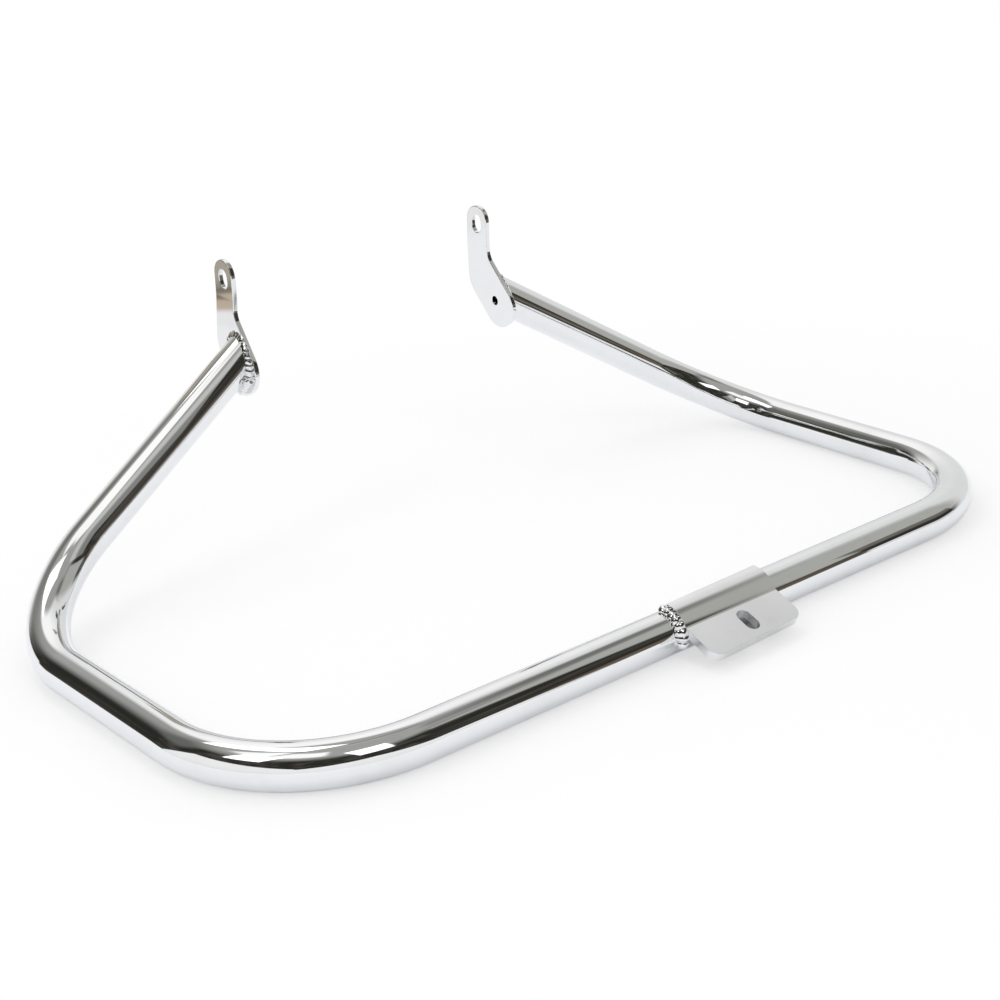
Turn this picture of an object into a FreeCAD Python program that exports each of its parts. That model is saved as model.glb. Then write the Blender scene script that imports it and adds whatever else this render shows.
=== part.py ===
import FreeCAD, Part
import math
import os

# Motorcycle engine guard: one bent chromed tube, a slotted tab welded on each of its ends
# and a folded saddle plate welded on its crossbar. All sizes are millimetres.
# The guard lies as it would on a floor, on its crossbar and its two side runs.
# +X is the guard's right, +Y its back, +Z up. It is built about the crossbar's axis, and
# the finished pieces are then moved so that the origin is under the middle of the guard.

# Tube
tube_od = 31.75
tube_wall = 2.5
front_half_span = 348.0  # guard's middle to where crossbar and side run would meet
rear_half_span = 368.0  # guard's middle to where side run and arm would meet
side_depth = 351.0  # crossbar's axis to that rear meeting point
front_bend_radius = 116.0  # on the tube's centreline
rear_bend_radius = 104.0  # on the tube's centreline

# Tabs on the ends of the arms
tab_gap = 250.0  # between the two inner faces, beside the slots
tab_thickness = 4.0
tab_neck_width = 28.0  # across the slot's centre
tab_top_radius = 13.0
tab_top_rise = 15.6  # slot's centre to the tab's top
neck_front_slant = 5.8  # degrees that the front edge runs backwards as it goes down
neck_back_slant = 7.6  # the same for the back edge
tab_slot_setback = 402.0  # crossbar's axis to the slot's centre, front to back
tab_slot_height = 213.0  # crossbar's axis to the slot's centre, upwards
tab_slot_width = 13.0
tab_slot_length = 16.0
tab_fold_drop = 15.0  # slot's centre to the fold on the outer face, downwards
tab_fold_angle = 3.4  # degrees that the foot leans outwards below the fold
tab_fold_radius = 10.0  # inside of the fold

# Foot of each tab, round the end of the tube
foot_ahead = 14.3  # slot's centre to the tube end's centre, forwards
foot_drop = 62.9  # slot's centre to the tube end's centre, downwards
foot_slant = 38.3  # degrees that the foot's edges run forwards as they go down
foot_front_margin = 2.6  # tube's wall to the foot's front edge
foot_back_margin = 8.0  # tube's wall to the foot's back edge
foot_sole_margin = 14.3  # tube's wall to the foot's lower edge
sole_slope = 31.0  # degrees that the lower edge falls towards the back
neck_corner_radius = 13.0
toe_corner_radius = 19.0
sole_corner_radius = 19.0
heel_corner_radius = 20.0
vent_diameter = 8.0  # lets plating fluid drain from the tube
vent_drop = 5.5  # tube end's centre to the vent, downwards

# Saddle plate over the crossbar
saddle_thickness = 6.35
saddle_width = 87.3
saddle_offset = 10.2  # guard's middle to the plate's middle, to the right
saddle_clearance = 0.1  # between the plate's bend and the tube
saddle_back_set = 0.2  # crossbar's axis to the plate's back edge, forwards
saddle_skew = 1.7  # degrees that the front and back edges run backwards to the right
blank_back_angle = 120.0  # degrees round the tube that the plate is rolled to, untrimmed
saddle_root_angle = 28.4  # degrees round the tube where the flange turns away
flange_slope = 22.9  # degrees that the flange falls towards the front
flange_bend_radius = 2.0  # inside of the fold
flange_length = 29.3  # from the fold to the front edge
flange_corner_radius = 9.1
flange_slot_width = 11.0
flange_slot_length = 19.0
flange_slot_setback = 15.9  # front edge to the slot's centre
flange_slot_offset = 2.6  # plate's middle to the slot's centre, to the right

# Weld beads
tab_weld_leg = 4.0  # on the tab, beside the tube
tab_weld_height = 7.0  # along the tube
tab_weld_foot_extra = 5.0  # how much further the bead spreads under the tube
weld_toe = 0.6  # thickness of the bead where it thins out on the tube
saddle_weld_leg = 6.5
saddle_weld_bulge = 0.6
saddle_weld_low_angle = -4.0  # degrees round the tube where the bead ends below the flange
saddle_weld_high_angle = 90.0  # degrees round the tube where it ends at the top

tube_radius = tube_od / 2
foot_y = tab_slot_setback - foot_ahead
foot_z = tab_slot_height - foot_drop
fold_z = tab_slot_height - tab_fold_drop
fold_turn = math.radians(tab_fold_angle)
foot_outward = FreeCAD.Vector(math.cos(fold_turn), 0, math.sin(fold_turn))
foot_downward = FreeCAD.Vector(math.sin(fold_turn), 0, -math.cos(fold_turn))
foot_x = tab_gap / 2 + tab_thickness + (fold_z - foot_z) * math.tan(fold_turn)
tube_end = FreeCAD.Vector(foot_x, foot_y, foot_z)


def mirrored(shape):
    """The left-hand twin of a right-hand piece."""
    return shape.mirror(FreeCAD.Vector(0, 0, 0), FreeCAD.Vector(1, 0, 0))


def half_corners():
    """Points where the straight runs of the right half would meet, from the front."""
    front = FreeCAD.Vector(front_half_span, 0, 0)
    rear = FreeCAD.Vector(rear_half_span, side_depth, 0)
    return [front, rear, tube_end]


def arm_direction():
    """Unit vector along the right arm, from the rear bend towards its tab."""
    front, rear, end = half_corners()
    return (end - rear).normalize()


def bend(before, corner, after, radius):
    """Arc edge of the given radius that rounds one corner of the tube's centreline."""
    back = (before - corner).normalize()
    ahead = (after - corner).normalize()
    half_angle = back.getAngle(ahead) / 2
    reach = radius / math.tan(half_angle)
    middle_way = (back + ahead).normalize()
    centre = corner + middle_way * (radius / math.sin(half_angle))
    middle = centre - middle_way * radius
    return Part.Arc(corner + back * reach, middle, corner + ahead * reach).toShape()


def centreline():
    """Wire along the middle of the tube, from past the left tab to past the right one."""
    right = half_corners()
    right[2] = right[2] + arm_direction() * (2 * tube_od)
    left = [FreeCAD.Vector(-point.x, point.y, point.z) for point in reversed(right)]
    corners = left + right
    radii = [rear_bend_radius, front_bend_radius, front_bend_radius, rear_bend_radius]
    edges = []
    start = corners[0]
    for place, radius in enumerate(radii, start=1):
        arc = bend(corners[place - 1], corners[place], corners[place + 1], radius)
        edges.append(Part.LineSegment(start, arc.Vertexes[0].Point).toShape())
        edges.append(arc)
        start = arc.Vertexes[-1].Point
    edges.append(Part.LineSegment(start, corners[-1]).toShape())
    return Part.Wire(edges)


def rod(path, radius):
    """Solid of round section along a wire."""
    start = path.Edges[0]
    ring = Part.Circle(start.Vertexes[0].Point, start.tangentAt(start.FirstParameter), radius)
    return path.makePipe(Part.Face(Part.Wire(ring.toShape())))


def guard_tube():
    """Bent tube, cut off flush with the outer faces of the tabs' feet."""
    path = centreline()
    tube = rod(path, tube_radius).cut(rod(path, tube_radius - tube_wall))
    reach = 4 * tube_od
    corner = tube_end - FreeCAD.Vector(0, reach / 2, 0) + foot_downward * (reach / 2)
    plane = Part.makePlane(reach, reach, corner, foot_outward, FreeCAD.Vector(0, 1, 0))
    inside_tab = plane.extrude(foot_outward * -reach)
    return tube.cut([inside_tab, mirrored(inside_tab)])


def rounded_outline(points, radii):
    """Closed wire through the points, with each corner rounded to its own radius."""
    edges = []
    arcs = []
    count = len(points)
    for place in range(count):
        after = points[(place + 1) % count]
        arcs.append(bend(points[place - 1], points[place], after, radii[place]))
    for place in range(count):
        start = arcs[place - 1].Vertexes[-1].Point
        end = arcs[place].Vertexes[0].Point
        edges.append(Part.LineSegment(start, end).toShape())
        edges.append(arcs[place])
    return Part.Wire(edges)


def slanting_line(centre, distance, degrees):
    """Line in the tab's outline that passes a point at a distance.

    It runs forwards by degrees from upright as it goes down. The distance is positive for
    a line behind the point and negative for one ahead of it. Gives a point on the line and
    its direction.
    """
    turn = math.radians(degrees)
    along = FreeCAD.Vector(0, -math.sin(turn), -math.cos(turn))
    across = FreeCAD.Vector(0, math.cos(turn), -math.sin(turn))
    return centre + across * distance, along


def crossing(line, other):
    """Point where two lines in the tab's plane cross."""
    point, along = line
    other_point, other_along = other
    gap = other_point - point
    turn = along.y * other_along.z - along.z * other_along.y
    reach = (gap.y * other_along.z - gap.z * other_along.y) / turn
    return point + along * reach


def slot_solid(centre, along, through, length, width, depth):
    """Round-ended slot as a solid, centred on a point and cut both ways through a plate."""
    across = through.cross(along).normalize()
    half_run = (length - width) / 2
    start = centre - through * (depth / 2)
    first = start - along * half_run
    last = start + along * half_run
    side = across * (width / 2)
    tip = along * (width / 2)
    edges = [
        Part.LineSegment(first + side, last + side).toShape(),
        Part.Arc(last + side, last + tip, last - side).toShape(),
        Part.LineSegment(last - side, first - side).toShape(),
        Part.Arc(first - side, first - tip, first + side).toShape(),
    ]
    return Part.Face(Part.Wire(edges)).extrude(through * depth)


def tab_outline():
    """Face with the tab's outline, as seen from the side."""
    slot = FreeCAD.Vector(0, tab_slot_setback, tab_slot_height)
    foot = FreeCAD.Vector(0, foot_y, foot_z)
    top = slanting_line(slot, -tab_top_rise, 90)
    neck_front = slanting_line(slot, -tab_neck_width / 2, -neck_front_slant)
    neck_back = slanting_line(slot, tab_neck_width / 2, -neck_back_slant)
    foot_front = slanting_line(foot, -tube_radius - foot_front_margin, foot_slant)
    foot_back = slanting_line(foot, tube_radius + foot_back_margin, foot_slant)
    sole = slanting_line(foot, -tube_radius - foot_sole_margin, sole_slope - 90)
    corners = [
        crossing(neck_front, top),
        crossing(neck_front, foot_front),
        crossing(foot_front, sole),
        crossing(foot_back, sole),
        crossing(neck_back, foot_back),
        crossing(neck_back, top),
    ]
    radii = [
        tab_top_radius,
        neck_corner_radius,
        toe_corner_radius,
        sole_corner_radius,
        heel_corner_radius,
        tab_top_radius,
    ]
    return Part.Face(rounded_outline(corners, radii))


def folded_strip():
    """Sheet as thick as the tab, upright above the fold and leaning outwards below it."""
    outward = FreeCAD.Vector(1, 0, 0)
    halfway = (outward + foot_outward).normalize()
    near = tab_fold_radius
    far = tab_fold_radius + tab_thickness
    rise = tab_fold_radius * math.tan(fold_turn / 2)
    centre = FreeCAD.Vector(tab_gap / 2 + far, 0, fold_z + rise)
    high = FreeCAD.Vector(0, 0, 2 * tab_slot_height)
    low = foot_downward * (2 * tab_slot_height)
    outer_high = centre - outward * near
    outer_low = centre - foot_outward * near
    inner_low = centre - foot_outward * far
    inner_high = centre - outward * far
    edges = [
        Part.LineSegment(outer_high + high, outer_high),
        Part.Arc(outer_high, centre - halfway * near, outer_low),
        Part.LineSegment(outer_low, outer_low + low),
        Part.LineSegment(outer_low + low, inner_low + low),
        Part.LineSegment(inner_low + low, inner_low),
        Part.Arc(inner_low, centre - halfway * far, inner_high),
        Part.LineSegment(inner_high, inner_high + high),
        Part.LineSegment(inner_high + high, outer_high + high),
    ]
    section = Part.Face(Part.Wire([edge.toShape() for edge in edges]))
    return section.extrude(FreeCAD.Vector(0, 2 * tab_slot_setback, 0))


def right_tab():
    """Dog-leg plate with a bolt slot in its neck and the tube's end under its foot."""
    outward = FreeCAD.Vector(1, 0, 0)
    plate = folded_strip().common(tab_outline().extrude(outward * tab_gap))
    middle_x = (tab_gap + tab_thickness) / 2
    slot_centre = FreeCAD.Vector(middle_x, tab_slot_setback, tab_slot_height)
    cut_depth = 3 * tab_thickness
    upright = FreeCAD.Vector(0, 0, 1)
    slot = slot_solid(slot_centre, upright, outward, tab_slot_length, tab_slot_width, cut_depth)
    vent_start = tube_end + foot_downward * vent_drop + foot_outward * tab_thickness
    vent = Part.makeCylinder(vent_diameter / 2, cut_depth, vent_start, foot_outward * -1)
    return plate.cut(slot).cut(vent)


def ring_on_tube(out, spread, extra_below):
    """Ellipse round the right arm, in a plane that is a distance out from the tab's foot."""
    direction = arm_direction()
    slope = -direction.dot(foot_outward)
    in_plane = direction + foot_outward * slope
    down = in_plane.normalize() * -1
    centre = tube_end - direction * (out / slope) + down * (extra_below / 2)
    long_radius = tube_radius / slope + spread + extra_below / 2
    short_radius = tube_radius + spread + extra_below / 4
    across = down.cross(foot_outward)
    ellipse = Part.Ellipse(centre + down * long_radius, centre + across * short_radius, centre)
    return Part.Wire(ellipse.toShape())


def right_tab_weld():
    """Bead round the end of the right arm, on its tab's outer face and heavier below."""
    middle_leg = (tab_weld_leg + weld_toe) / 2 + weld_toe
    rings = [
        ring_on_tube(0, tab_weld_leg, tab_weld_foot_extra),
        ring_on_tube(tab_weld_height / 2, middle_leg, tab_weld_foot_extra / 2),
        ring_on_tube(tab_weld_height, weld_toe, 0),
    ]
    bead = Part.makeLoft(rings, True, True)
    direction = arm_direction()
    length = 4 * tube_od
    core = Part.makeCylinder(tube_radius, 2 * length, tube_end + direction * length, direction * -1)
    within_foot = tab_outline().extrude(FreeCAD.Vector(2 * tab_gap, 0, 0))
    return bead.cut(core).common(within_foot)


def round_tube(radius, degrees):
    """Point in the crossbar's section, at an angle from its front over its top."""
    turn = math.radians(degrees)
    return FreeCAD.Vector(0, -radius * math.cos(turn), radius * math.sin(turn))


def flange_directions():
    """Unit vectors down along the flange and up out of it."""
    slope = math.radians(flange_slope)
    down = FreeCAD.Vector(0, -math.cos(slope), -math.sin(slope))
    up = FreeCAD.Vector(0, -math.sin(slope), math.cos(slope))
    return down, up


def saddle_left():
    """Place of the saddle plate's left end."""
    return saddle_offset - saddle_width / 2


def saddle_section(back_angle, flange_run):
    """Face of the folded plate: a bend over the tube, a fold, and the flange."""
    inner = tube_radius + saddle_clearance
    outer = inner + saddle_thickness
    down, up = flange_directions()
    fold_centre = round_tube(outer + flange_bend_radius, saddle_root_angle)
    half_turn = (back_angle + saddle_root_angle) / 2
    outer_root = round_tube(outer, saddle_root_angle)
    inner_root = round_tube(inner, saddle_root_angle)
    top_start = fold_centre - up * flange_bend_radius
    low_radius = flange_bend_radius + saddle_thickness
    low_start = fold_centre - up * low_radius
    towards_root = (outer_root - fold_centre).normalize()
    fold_middle = (towards_root - up).normalize()
    edges = [
        Part.Arc(round_tube(outer, back_angle), round_tube(outer, half_turn), outer_root),
        Part.Arc(outer_root, fold_centre + fold_middle * flange_bend_radius, top_start),
        Part.LineSegment(top_start, top_start + down * flange_run),
        Part.LineSegment(top_start + down * flange_run, low_start + down * flange_run),
        Part.LineSegment(low_start + down * flange_run, low_start),
        Part.Arc(low_start, fold_centre + fold_middle * low_radius, inner_root),
        Part.Arc(inner_root, round_tube(inner, half_turn), round_tube(inner, back_angle)),
        Part.LineSegment(round_tube(inner, back_angle), round_tube(outer, back_angle)),
    ]
    return Part.Face(Part.Wire([edge.toShape() for edge in edges]))


def flange_front():
    """Middle of the flange's front edge, on its upper face, in the crossbar's section."""
    down, up = flange_directions()
    outer = tube_radius + saddle_clearance + saddle_thickness
    fold_centre = round_tube(outer + flange_bend_radius, saddle_root_angle)
    return fold_centre - up * flange_bend_radius + down * flange_length


def beyond(point, outward, along):
    """Block that fills the space past a point on an edge of the saddle plate."""
    reach = 2 * saddle_width
    upright = outward.cross(along).normalize()
    corner = point - (along + upright) * (reach / 2)
    return Part.makePlane(reach, reach, corner, outward, along).extrude(outward * reach)


def saddle_bracket():
    """Folded plate with slightly skewed edges, rounded front corners and a slot."""
    skew = math.radians(saddle_skew)
    down, up = flange_directions()
    front = flange_front()
    front.x = saddle_offset
    right = FreeCAD.Vector(1, 0, 0)
    front_along = right * math.cos(skew) - down * math.sin(skew)
    past_front = beyond(front, down * math.cos(skew) + right * math.sin(skew), front_along)
    back = FreeCAD.Vector(saddle_offset, -saddle_back_set, 0)
    back_along = FreeCAD.Vector(math.cos(skew), math.sin(skew), 0)
    past_back = beyond(back, FreeCAD.Vector(-math.sin(skew), math.cos(skew), 0), back_along)
    section = saddle_section(blank_back_angle, flange_length + saddle_width * math.tan(skew))
    section.translate(FreeCAD.Vector(saddle_left(), 0, 0))
    plate = section.extrude(FreeCAD.Vector(saddle_width, 0, 0)).cut([past_front, past_back])
    corners = []
    for edge in plate.Edges:
        ends = [vertex.Point for vertex in edge.Vertexes]
        if len(ends) < 2:
            continue
        along = (ends[1] - ends[0]).normalize()
        at_front = abs((edge.CenterOfMass - front).dot(down)) < saddle_thickness / 2
        if at_front and abs(along.dot(up)) > 0.99:
            corners.append(edge)
    plate = plate.makeFillet(flange_corner_radius, corners)
    centre = front - down * flange_slot_setback + right * flange_slot_offset
    depth = 4 * saddle_thickness
    slot = slot_solid(centre, down, up, flange_slot_length, flange_slot_width, depth)
    return plate.cut(slot)


def saddle_weld():
    """Bead round the tube at the plate's left end, down to just below the flange."""
    height = saddle_clearance + saddle_thickness
    x = saddle_left()
    turn = saddle_weld_high_angle - saddle_weld_low_angle
    foot = FreeCAD.Vector(x, 0, tube_radius)
    crest = FreeCAD.Vector(x, 0, tube_radius + height)
    toe = FreeCAD.Vector(x - saddle_weld_leg, 0, tube_radius)
    slope = (crest - toe).normalize()
    out = FreeCAD.Vector(-slope.z, 0, slope.x)
    middle = (crest + toe) / 2 + out * saddle_weld_bulge
    edges = [
        Part.LineSegment(toe, foot).toShape(),
        Part.LineSegment(foot, crest).toShape(),
        Part.Arc(crest, middle, toe).toShape(),
    ]
    face = Part.Face(Part.Wire(edges))
    axis = FreeCAD.Vector(1, 0, 0)
    face.rotate(FreeCAD.Vector(0, 0, 0), axis, 90 - saddle_weld_high_angle)
    return face.revolve(FreeCAD.Vector(0, 0, 0), axis, turn)


nodes = {
    "guard_tube": guard_tube(),
    "right_tab": right_tab(),
    "left_tab": mirrored(right_tab()),
    "right_tab_weld": right_tab_weld(),
    "left_tab_weld": mirrored(right_tab_weld()),
    "saddle_bracket": saddle_bracket(),
    "saddle_weld": saddle_weld(),
}

front_edge = nodes["saddle_bracket"].optimalBoundingBox(False).YMin
back_edge = nodes["right_tab"].optimalBoundingBox(False).YMax
to_origin = FreeCAD.Vector(0, -(front_edge + back_edge) / 2, tube_radius)

os.makedirs("parts", exist_ok=True)
for name, shape in nodes.items():
    shape.translate(to_origin)
    solid = shape.Solids[0]
    print(name, len(shape.Solids), "solid, valid", solid.isValid(), "volume", round(solid.Volume, 1))
    solid.exportStep(os.path.join("parts", name + ".step"))
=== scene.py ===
"""Studio scene of a chromed motorcycle engine guard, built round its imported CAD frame."""
import logging
import math
import random
from dataclasses import dataclass, field
from enum import Enum
from typing import Callable, Dict, List, Optional, Sequence, Tuple, Union

import bpy
from bpy.types import Material, Node, NodeSocket, NodeTree, Object
from mathutils import Matrix, Vector

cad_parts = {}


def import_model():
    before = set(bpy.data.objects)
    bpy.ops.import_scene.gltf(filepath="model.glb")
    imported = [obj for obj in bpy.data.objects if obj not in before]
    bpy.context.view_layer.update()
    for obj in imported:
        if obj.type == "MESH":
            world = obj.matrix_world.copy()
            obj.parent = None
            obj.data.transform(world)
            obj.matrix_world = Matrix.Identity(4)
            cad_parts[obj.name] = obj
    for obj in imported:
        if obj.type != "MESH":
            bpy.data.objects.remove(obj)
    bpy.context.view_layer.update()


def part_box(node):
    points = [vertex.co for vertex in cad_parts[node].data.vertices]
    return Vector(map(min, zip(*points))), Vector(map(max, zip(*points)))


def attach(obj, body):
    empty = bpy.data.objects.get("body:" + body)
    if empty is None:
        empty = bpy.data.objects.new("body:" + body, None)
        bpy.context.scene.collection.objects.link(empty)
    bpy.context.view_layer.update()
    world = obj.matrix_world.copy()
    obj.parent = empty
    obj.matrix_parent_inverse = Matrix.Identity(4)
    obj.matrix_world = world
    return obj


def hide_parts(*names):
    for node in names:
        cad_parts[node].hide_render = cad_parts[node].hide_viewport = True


LOG = logging.getLogger("engine_guard")
MM = 0.001
Pair = Tuple[float, float]
Triple = Tuple[float, float, float]
Term = Union["Value", int, float]
SMOOTH_DEGREES = 40.0
ROUNDED_DEGREES = 50.0
SAME_PLACE = 1e-6


class Side(Enum):
    """Which side of the guard a piece is on, as the sign of its X."""

    LEFT = -1
    RIGHT = 1


class Bench:
    """Workbench: shapes one mesh object at a time with Blender's own operators."""

    def __init__(self, name: str) -> None:
        """Starts with nothing selected, for a piece of this name."""
        self.name = name
        self.obj: Optional[Object] = None
        Bench.clear()

    @staticmethod
    def clear() -> None:
        """Leaves edit mode and deselects everything."""
        if bpy.context.object and bpy.context.object.mode != "OBJECT":
            bpy.ops.object.mode_set(mode="OBJECT")
        bpy.ops.object.select_all(action="DESELECT")

    def take(self, obj: Object) -> Object:
        """Makes an object the only one selected and the active one."""
        Bench.clear()
        obj.select_set(True)
        bpy.context.view_layer.objects.active = obj
        self.obj = obj
        return obj

    def adopt(self) -> Object:
        """Takes the primitive that was just added, and names it and its mesh."""
        obj = bpy.context.object
        obj.name = self.name
        obj.data.name = self.name
        return self.take(obj)

    @staticmethod
    def edit() -> None:
        """Enters edit mode with nothing selected, to pick vertices."""
        bpy.ops.object.mode_set(mode="EDIT")
        bpy.ops.mesh.select_mode(type="VERT")
        bpy.ops.mesh.select_all(action="DESELECT")

    @staticmethod
    def apply() -> None:
        """Puts the active object's place, turn and size into its mesh."""
        bpy.ops.object.transform_apply(location=True, rotation=True, scale=True)

    @staticmethod
    def pick_all() -> None:
        """Selects the whole mesh."""
        bpy.ops.mesh.select_all(action="SELECT")

    def pick(self, test: Callable[[Vector], bool]) -> None:
        """Selects the vertices whose place passes a test, and what they span."""
        bpy.ops.mesh.select_all(action="DESELECT")
        bpy.ops.object.mode_set(mode="OBJECT")
        for vertex in self.obj.data.vertices:
            vertex.select = test(vertex.co)
        bpy.ops.object.mode_set(mode="EDIT")
        bpy.ops.mesh.select_mode(type="VERT")

    def pick_edges(self, test: Callable[[Vector, Vector], bool]) -> None:
        """Selects the edges whose two ends pass a test together."""
        bpy.ops.mesh.select_mode(type="EDGE")
        bpy.ops.mesh.select_all(action="DESELECT")
        bpy.ops.object.mode_set(mode="OBJECT")
        mesh = self.obj.data
        for edge in mesh.edges:
            first, last = (mesh.vertices[i].co for i in edge.vertices)
            edge.select = test(first, last)
        bpy.ops.object.mode_set(mode="EDIT")

    def extrude(self, way: Vector) -> None:
        """Extrudes what is selected by a vector."""
        bpy.ops.mesh.extrude_region_move(TRANSFORM_OT_translate={"value": way})

    def move(self, way: Vector) -> None:
        """Moves what is selected by a vector."""
        bpy.ops.transform.translate(value=way)

    def turn(self, angle: float, axis: str, centre: Vector) -> None:
        """Turns what is selected round X, Y or Z, by the right-hand rule."""
        bpy.ops.transform.rotate(value=-angle, orient_axis=axis, center_override=centre)

    def spin(self, turn: float, steps: int, centre: Vector, axis: Vector) -> None:
        """Sweeps what is selected round an axis, in radians by the right-hand rule."""
        bpy.ops.mesh.spin(steps=steps, angle=-turn, center=centre, axis=axis)

    @staticmethod
    def heal(reach: float = SAME_PLACE) -> None:
        """Merges doubled vertices, points the faces outwards and leaves edit mode."""
        bpy.ops.mesh.select_mode(type="VERT")
        Bench.pick_all()
        bpy.ops.mesh.remove_doubles(threshold=reach)
        bpy.ops.mesh.normals_make_consistent(inside=False)
        bpy.ops.object.mode_set(mode="OBJECT")

    def modifier(self, kind: str, settings: Dict[str, object]) -> None:
        """Adds a modifier with its settings by name, and applies it at once."""
        change = self.obj.modifiers.new(kind.lower(), kind)
        for key, value in settings.items():
            setattr(change, key, value)
        bpy.ops.object.modifier_apply(modifier=change.name)

    def cut(self, tool: Object) -> None:
        """Cuts another object out of this one, and throws the other away."""
        self.take(self.obj)
        self.modifier("BOOLEAN", {"operation": "DIFFERENCE", "object": tool, "solver": "EXACT"})
        bpy.data.objects.remove(tool)

    def round_edges(self, width: float) -> None:
        """Rounds the edges that turn sharply, over a width in millimetres."""
        self.modifier("BEVEL", {
            "width": width * MM, "segments": 3, "limit_method": "ANGLE",
            "angle_limit": math.radians(ROUNDED_DEGREES), "use_clamp_overlap": True})

    def settle(self, smooth_degrees: float = SMOOTH_DEGREES,
               flat_faces: bool = False) -> Object:
        """Puts the object's place into its mesh, shades it smooth and returns it.

        Edges that turn more than the angle stay sharp. With flat faces, large faces stay flat
        up to their narrow rounded edges.
        """
        self.take(self.obj)
        Bench.apply()
        bpy.ops.object.shade_smooth_by_angle(angle=math.radians(smooth_degrees))
        if flat_faces:
            self.modifier("WEIGHTED_NORMAL", {"keep_sharp": True, "weight": 100})
        return self.obj


def facing(x_way: Vector, y_way: Vector, z_way: Vector) -> Matrix:
    """Turn that lays an object's three axes along three directions."""
    return Matrix((x_way, y_way, z_way)).transposed().to_4x4()


def slot_tool(centre: Vector, along: Vector, through: Vector, length: float, width: float,
              depth: float) -> Object:
    """Round-ended solid that cuts a bolt slot, its length along and its depth through."""
    bench = Bench("slot_tool")
    bpy.ops.mesh.primitive_cylinder_add(vertices=64, radius=width / 2, depth=depth)
    tool = bench.adopt()
    across = through.cross(along).normalized()
    turn = facing(along, across, through.normalized())
    bench.edit()
    for way in (1, -1):
        bench.pick(lambda co, way=way: co.x * way > SAME_PLACE)
        bench.move(Vector((way * (length - width) / 2, 0, 0)))
    bench.heal()
    tool.matrix_world = Matrix.Translation(centre) @ turn
    Bench.apply()
    return tool


def block_tool(corner_face: Vector, normal: Vector, up: Vector, reach: float) -> Object:
    """Large block that cuts away all past a plane, on the side of its normal."""
    bench = Bench("block_tool")
    bpy.ops.mesh.primitive_cube_add(size=reach)
    tool = bench.adopt()
    across = up.cross(normal).normalized()
    turn = facing(normal.normalized(), across, up.normalized())
    centre = corner_face + normal.normalized() * (reach / 2)
    tool.matrix_world = Matrix.Translation(centre) @ turn
    Bench.apply()
    return tool


class Value:
    """A number socket in a node tree that takes part in Python expressions."""

    def __init__(self, shader: "Shader", socket: NodeSocket) -> None:
        """Wraps an output socket of a shader's tree."""
        self.shader = shader
        self.socket = socket

    def _maths(self, operation: str, *parts: Term, clamp: bool = False) -> "Value":
        """Adds one Math node on these values."""
        settings = {"operation": operation, "use_clamp": clamp}
        values = {place: part for place, part in enumerate(parts)}
        return self.shader.node("Math", settings, values).out()

    def __add__(self, other: Term) -> "Value":
        """Sum."""
        return self._maths("ADD", self, other)

    __radd__ = __add__

    def __mul__(self, other: Term) -> "Value":
        """Product."""
        return self._maths("MULTIPLY", self, other)

    def __sub__(self, other: Term) -> "Value":
        """Difference."""
        return self._maths("SUBTRACT", self, other)

    def __rsub__(self, other: float) -> "Value":
        """Difference from a number."""
        return self._maths("SUBTRACT", other, self)

    def larger(self, other: Term) -> "Value":
        """The larger of the two."""
        return self._maths("MAXIMUM", self, other)

    def step(self, start: float, end: float) -> "Value":
        """Smooth change from 0 at the start to 1 at the end, which may be the lower."""
        values = {"Value": self, "From Min": start, "From Max": end, "To Min": 0.0, "To Max": 1.0}
        settings = {"interpolation_type": "SMOOTHSTEP", "clamp": True}
        return self.shader.node("MapRange", settings, values).out("Result")

    def within(self, low: float, high: float, soft: float) -> "Value":
        """1 between two values and 0 outside them, with soft ends."""
        rise = self.step(low - soft, low + soft)
        fall = self.step(high + soft, high - soft)
        return rise * fall


class Part:
    """A node that was added, whose outputs can be taken by name."""

    def __init__(self, shader: "Shader", node: Node) -> None:
        """Wraps one node."""
        self.shader = shader
        self.raw = node

    def out(self, name: Union[str, int] = 0) -> Value:
        """One of the node's outputs."""
        return Value(self.shader, self.raw.outputs[name])


class Shader:
    """Builds one node tree."""

    def __init__(self, tree: NodeTree) -> None:
        """Starts on an emptied tree."""
        self.tree = tree
        tree.nodes.clear()

    def node(self, kind: str, settings: Optional[Dict[str, object]] = None,
             values: Optional[Dict[Union[str, int], object]] = None) -> Part:
        """Adds a node with its settings, and numbers, colours or links as its inputs."""
        node = self.tree.nodes.new(f"ShaderNode{kind}")
        for key, value in (settings or {}).items():
            setattr(node, key, value)
        for key, value in (values or {}).items():
            if isinstance(value, Part):
                value = value.out()
            if isinstance(value, Value):
                self.tree.links.new(value.socket, node.inputs[key])
            else:
                node.inputs[key].default_value = value
        return Part(self, node)

    def blend(self, factor: Term, first: object, second: object) -> Value:
        """Mix of two colours or links: factor 0 gives the first and 1 the second."""
        part = self.node("Mix", {"data_type": "RGBA"}, {0: factor})
        for place, colour in ((6, first), (7, second)):
            if isinstance(colour, Value):
                self.tree.links.new(colour.socket, part.raw.inputs[place])
            else:
                part.raw.inputs[place].default_value = (*colour, 1.0)
        return part.out(2)

    def noise(self, place: Value, scale: float, detail: float = 2.0,
              roughness: float = 0.5) -> Value:
        """Noise between 0 and 1 at a scale per metre."""
        values = {"Vector": place, "Scale": scale, "Detail": detail, "Roughness": roughness}
        return self.node("TexNoise", None, values).out("Fac")


def new_material(name: str) -> Tuple[Material, Shader, Value]:
    """Material with its shader, and the place on the object for its patterns."""
    material = bpy.data.materials.new(name)
    material.use_nodes = True
    shader = Shader(material.node_tree)
    return material, shader, shader.node("TexCoord").out("Object")


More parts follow.
